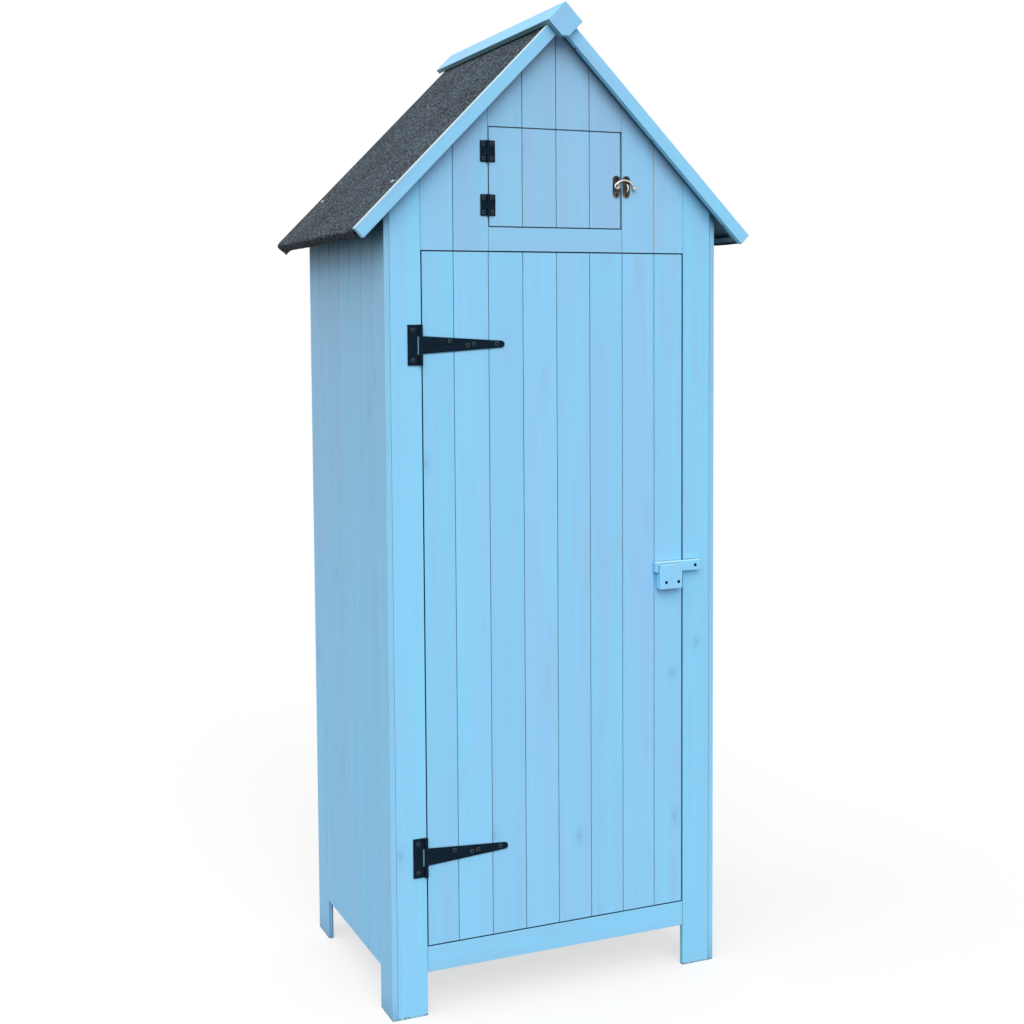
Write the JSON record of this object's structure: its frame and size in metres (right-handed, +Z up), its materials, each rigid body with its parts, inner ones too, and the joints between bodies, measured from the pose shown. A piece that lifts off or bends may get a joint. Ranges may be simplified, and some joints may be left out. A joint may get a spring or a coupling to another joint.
{
  "type": "storage shed",
  "caption": "Tall narrow boarded garden shed on short legs, with a felted gable roof, a strap-hinged door with a turning wooden latch and a small hooked hatch to a loft.",
  "frame": {"origin": "on the ground, under the middle of the shed's overall box", "axes": "+Z up, the front with its doors faces -Y, +X to the right of someone who looks at the front"},
  "size_m": [0.77, 0.54, 1.78],
  "materials": {
    "painted_wood": "pale sky-blue paint over softwood boards, with faint grain, knots and chips at the feet",
    "roof_felt": "coarse mineral granules on black roofing felt",
    "black_iron": "black painted steel, satin",
    "aged_metal": "dark antique plating, worn bright on the raised edges"
  },
  "bodies": {
    "carcass": {"left_side_boards": "painted_wood", "right_side_boards": "painted_wood", "left_side_battens": "painted_wood", "right_side_battens": "painted_wood", "back_boards": "painted_wood", "back_battens": "painted_wood", "left_stile": "painted_wood", "right_stile": "painted_wood", "bottom_rail": "painted_wood", "hatch_rail": "painted_wood", "left_gable_boards": "painted_wood", "right_gable_boards": "painted_wood", "top_gable_boards": "painted_wood", "left_front_post": "painted_wood", "right_front_post": "painted_wood", "door_header": "painted_wood", "hatch_stops": "painted_wood", "floor_bearers": "painted_wood", "floor_boards": "painted_wood", "lower_shelf": "painted_wood", "upper_shelf": "painted_wood", "loft_floor": "painted_wood", "left_roof_boards": "painted_wood", "right_roof_boards": "painted_wood", "left_roof_battens": "painted_wood", "right_roof_battens": "painted_wood", "left_felt": "roof_felt", "right_felt": "roof_felt", "left_bargeboard": "painted_wood", "right_bargeboard": "painted_wood", "left_ridge_board": "painted_wood", "right_ridge_board": "painted_wood", "ridge_end_plate": "painted_wood", "upper_hinge_leaf": "black_iron", "lower_hinge_leaf": "black_iron", "hinge_pins": "black_iron", "leaf_screws": "black_iron", "hatch_hinge_frame_leaves": "black_iron", "hatch_hinge_pins": "black_iron", "hatch_frame_screws": "black_iron", "catch_staple_plate": "aged_metal", "catch_staple_screws": "aged_metal", "latch_pivot_screw": "black_iron"},
    "main_door": {"door_boards": "painted_wood", "door_ledges": "painted_wood", "upper_hinge_strap": "black_iron", "lower_hinge_strap": "black_iron", "strap_screws": "black_iron", "latch_keeper": "painted_wood", "latch_keeper_screws": "black_iron"},
    "hatch_door": {"hatch_boards": "painted_wood", "hatch_ledges": "painted_wood", "hatch_hinge_leaves": "black_iron", "hatch_hinge_screws": "black_iron", "catch_hook_plate": "aged_metal", "catch_hook_screws": "aged_metal"},
    "hook": {"hook_arm": "aged_metal"},
    "latch": {"latch_bar": "painted_wood"}
  },
  "joints": [
    {"name": "main_door_hinge", "type": "hinge", "parent": "carcass", "child": "main_door", "pos_m": [-0.2605, -0.2328, 0.736], "axis": [0, 0, -1], "range_deg": [0, 170]},
    {"name": "hatch_hinge", "type": "hinge", "parent": "carcass", "child": "hatch_door", "pos_m": [-0.1325, -0.2323, 1.4745], "axis": [0, 0, -1], "range_deg": [0, 130]},
    {"name": "latch_turn", "type": "hinge", "parent": "carcass", "child": "latch", "pos_m": [0.279, -0.2348, 0.769], "axis": [0, 1, 0], "range_deg": [0, 100]},
    {"name": "hook_swing", "type": "hinge", "parent": "hatch_door", "child": "hook", "pos_m": [0.12025, -0.2334, 1.468], "axis": [0, -1, 0], "range_deg": [0, 250]}
  ]
}
